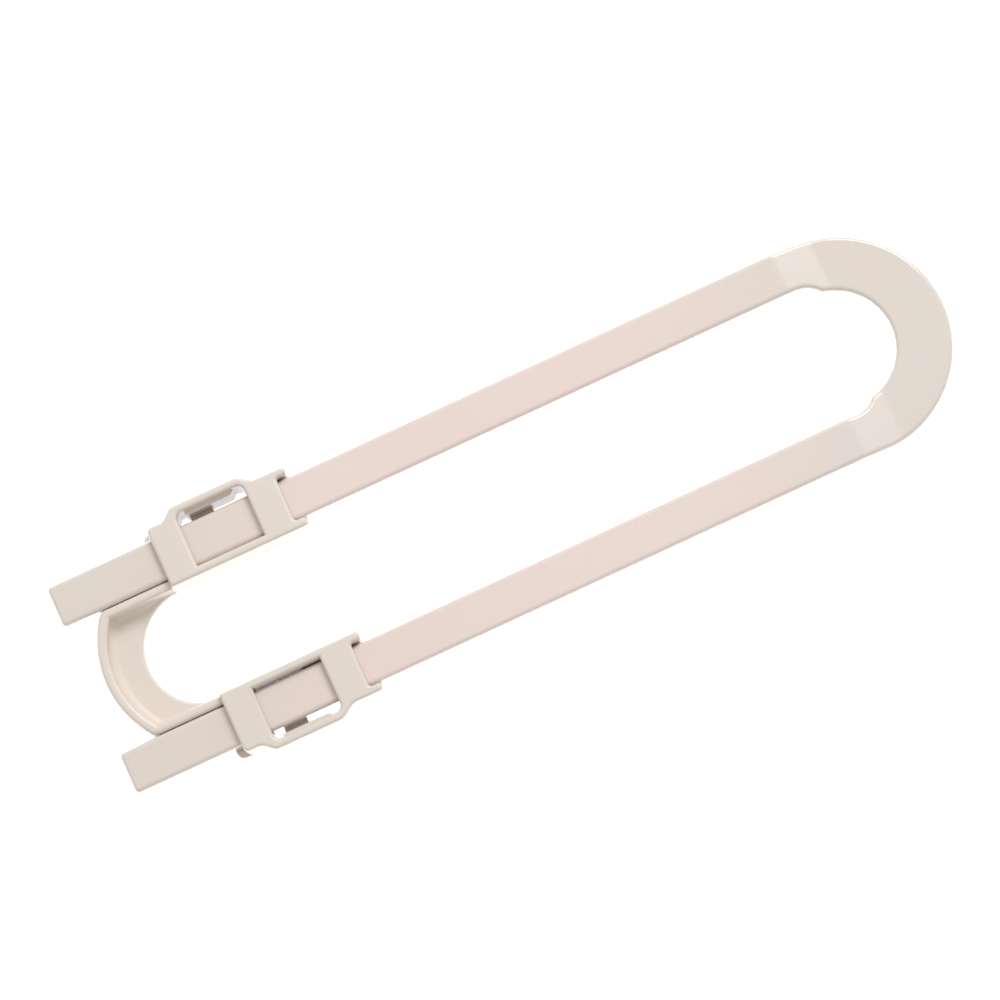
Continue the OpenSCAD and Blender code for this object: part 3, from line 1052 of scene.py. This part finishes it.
def dish_rows():
    """Places of the rim's outer and inner edge and of the floor's, seen from above."""
    sizes = bridge_sizes()
    steps, corner_steps = 12, 5
    centre = COLLAR_X + sizes.centre
    radius = centre - BRIDGE_TAIL_X
    inner_r = radius - sizes.rim
    hole_c = COLLAR_X + sizes.floor_set
    hole_r = RAIL_IN
    side = RAIL_OUT + sizes.closer
    turn = sizes.rim_corner

    # Where the straight sides turn into the round, and the angles there from each centre
    out_corner = centre - math.sqrt((radius - turn) ** 2 - (side - turn) ** 2)
    in_corner = centre - math.sqrt(inner_r ** 2 - RAIL_IN ** 2)
    a_out = math.atan2(side - turn, out_corner - centre)
    a_in = math.atan2(RAIL_IN, in_corner - centre)
    at_collar = math.acos((COLLAR_X - hole_c) / hole_r)
    at_corner = math.atan2(RAIL_IN, in_corner - hole_c)

    rows = []
    for part in spread(0, 1, steps):
        rows.append((flat(between(COLLAR_X, out_corner, part), side),
                     flat(between(COLLAR_X, in_corner, part), RAIL_IN),
                     on_circle(hole_c, 0, hole_r, between(at_collar, at_corner, part))))
    inner, edge = rows[-1][1:]
    for angle in spread(math.pi / 2, a_out, corner_steps)[1:]:
        rows.append((on_circle(out_corner, side - turn, turn, angle), inner, edge))
    for part in spread(0, 1, steps)[1:]:
        rows.append((on_circle(centre, 0, radius, between(a_out, math.pi, part)),
                     on_circle(centre, 0, inner_r, between(a_in, math.pi, part)),
                     on_circle(hole_c, 0, hole_r, between(at_corner, math.pi, part))))
    return rows


def dish_rings():
    """Sections of the bridge, from the left collar to its middle at the tail side: up the
    rim's outer edge, over it, down into the dish and out over the floor's edge."""
    sizes = bridge_sizes()
    base = slider_sizes().base
    rim, rim_inner = sizes.rim_edge, sizes.rim_inner
    rings = []
    for outer, inner, edge in dish_rows():
        inward = (inner - outer).normalized()
        width = (edge - inner).length
        floor_way = (edge - inner).normalized() if width > WELD else inward
        # Where the floor is narrow its curves shrink with it
        dish = min(sizes.dish, 0.7 * width)
        soft = min(sizes.floor_edge, 0.25 * width)
        centres = (outer + inward * rim + up(RIM_TOP - rim),
                   inner - inward * rim_inner + up(RIM_TOP - rim_inner),
                   inner + floor_way * dish + up(base + dish),
                   edge - floor_way * soft + up(base - soft))
        rings.append([outer,
                      *upright_arc(centres[0], inward, rim, 180, 90, steps=5),
                      *upright_arc(centres[1], inward, rim_inner, 90, 0, steps=3),
                      *upright_arc(centres[2], floor_way, dish, 180, 270, steps=6),
                      *upright_arc(centres[3], floor_way, soft, 90, 0, steps=3),
                      edge])
    return rings


class LOCK_OT_bridge(bpy.types.Operator):
    """Model the bridge between the buckles, a dished floor in a raised rim"""
    bl_idname = "lock.bridge"
    bl_label = "Bridge"

    def execute(self, context):
        rings = dish_rings()
        bridge = run_ring("bridge_dish", rings + mirrored(rings[:-1]))
        object_mode()
        complete(bridge, bridge_plastic(), "bridge")
        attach(bridge, "slider")
        return {"FINISHED"}


# The floor, and its glow to the camera and in reflections
FLOOR_SIZE = 6
FLOOR_DROP = 0.02 * MM
FLOOR_TINT = (0.94, 0.84, 0.78, 1)
GLOW_TINT = (0.93, 0.97, 1, 1)
SEEN_GLOW = 0.88
GLOSS_GLOW = 2.2
# The room's even light
ROOM_TINT = (1.0, 0.97, 0.945, 1)
ROOM_STRENGTH = 0.65
# The camera, which stands where the photo's stood
LENS_MM = 182.5
SENSOR_MM = 36
SHIFT_X = -0.0191
SHIFT_Y = -0.0007
DISTANCE = 1.2
TILT = math.radians(11.2)
ROLL = math.radians(24.76)


def backdrop_material():
    """White to the camera and in reflections, and it still takes the lock's shadow."""
    tree = Tree("backdrop")
    path = tree.add("LightPath")
    seen = (tree.number(path, "Is Camera Ray") * SEEN_GLOW
            + tree.number(path, "Is Glossy Ray") * GLOSS_GLOW
            + tree.number(path, "Is Transmission Ray"))
    matt = tree.add("BsdfDiffuse", Color=FLOOR_TINT)
    glow = tree.add("Emission", Color=GLOW_TINT, Strength=seen)
    both = tree.add("AddShader", _0=matt.outputs[0], _1=glow.outputs[0])
    tree.add("OutputMaterial", Surface=both.outputs[0])
    return tree.material


def soft_light(name, size, power, place, tint):
    """A square studio light that faces the lock."""
    lamp = bpy.data.lights.new(name, "AREA")
    lamp.color = tint
    lamp.size = size
    lamp.energy = power
    light = bpy.data.objects.new(name, lamp)
    bpy.context.scene.collection.objects.link(light)
    light.location = place
    light.rotation_euler = Vector(place).to_track_quat("Z", "Y").to_euler()


class LOCK_OT_stage(bpy.types.Operator):
    """Set the floor, the soft light and the camera"""
    bl_idname = "lock.stage"
    bl_label = "Stage"

    def execute(self, context):
        deselect()
        bpy.ops.mesh.primitive_plane_add(size=FLOOR_SIZE, location=(0, 0, -FLOOR_DROP))
        floor = context.object
        floor.name = "floor"
        floor.data.materials.append(backdrop_material())

        soft_light("key", size=1.1, power=33.0, place=(1.1, 1.34, 1.8), tint=(0.97, 0.985, 1.0))

        world = bpy.data.worlds.new("studio")
        context.scene.world = world
        world.use_nodes = True
        background = world.node_tree.nodes["Background"]
        background.inputs["Color"].default_value = ROOM_TINT
        background.inputs["Strength"].default_value = ROOM_STRENGTH

        lens = bpy.data.cameras.new("camera")
        lens.lens = LENS_MM
        lens.sensor_width = SENSOR_MM
        lens.shift_x = SHIFT_X
        lens.shift_y = SHIFT_Y
        lens.clip_start = 0.05
        camera = bpy.data.objects.new("camera", lens)
        context.scene.collection.objects.link(camera)
        turn = Matrix.Rotation(TILT, 3, "X") @ Matrix.Rotation(-ROLL, 3, "Z")
        place = (0, -DISTANCE * math.sin(TILT), DISTANCE * math.cos(TILT))
        camera.matrix_world = Matrix.Translation(place) @ turn.to_4x4()
        context.scene.camera = camera
        context.scene.view_settings.view_transform = "Standard"
        return {"FINISHED"}


class LOCK_PT_panel(bpy.types.Panel):
    """The operators in order, and the sizes and colours"""
    bl_label = "Safety Lock"
    bl_idname = "LOCK_PT_panel"
    bl_space_type = "VIEW_3D"
    bl_region_type = "UI"
    bl_category = "Safety Lock"

    def draw(self, context):
        for operator in OPERATORS:
            self.layout.operator(operator.bl_idname)
        for name in GROUPS:
            group = getattr(context.scene, name)
            box = self.layout.box()
            for prop in group.__annotations__:
                box.prop(group, prop)


GROUPS = {"lock_bar": LockBarSizes, "lock_slider": LockSliderSizes,
          "lock_bridge": LockBridgeSizes, "lock_colours": LockColours}
OPERATORS = (LOCK_OT_hairpin, LOCK_OT_bridge, LOCK_OT_buckles, LOCK_OT_thumb_bars,
             LOCK_OT_stage)


def register():
    for cls in (*GROUPS.values(), *OPERATORS, LOCK_PT_panel):
        bpy.utils.register_class(cls)
    for name, cls in GROUPS.items():
        setattr(bpy.types.Scene, name, bpy.props.PointerProperty(type=cls))


def unregister():
    for name in GROUPS:
        delattr(bpy.types.Scene, name)
    for cls in (LOCK_PT_panel, *OPERATORS, *GROUPS.values()):
        bpy.utils.unregister_class(cls)


def main():
    register()
    bpy.ops.lock.hairpin()
    bpy.ops.lock.bridge()
    bpy.ops.lock.buckles()
    bpy.ops.lock.thumb_bars()
    bpy.ops.lock.stage()


if __name__ == "__main__":
    main()
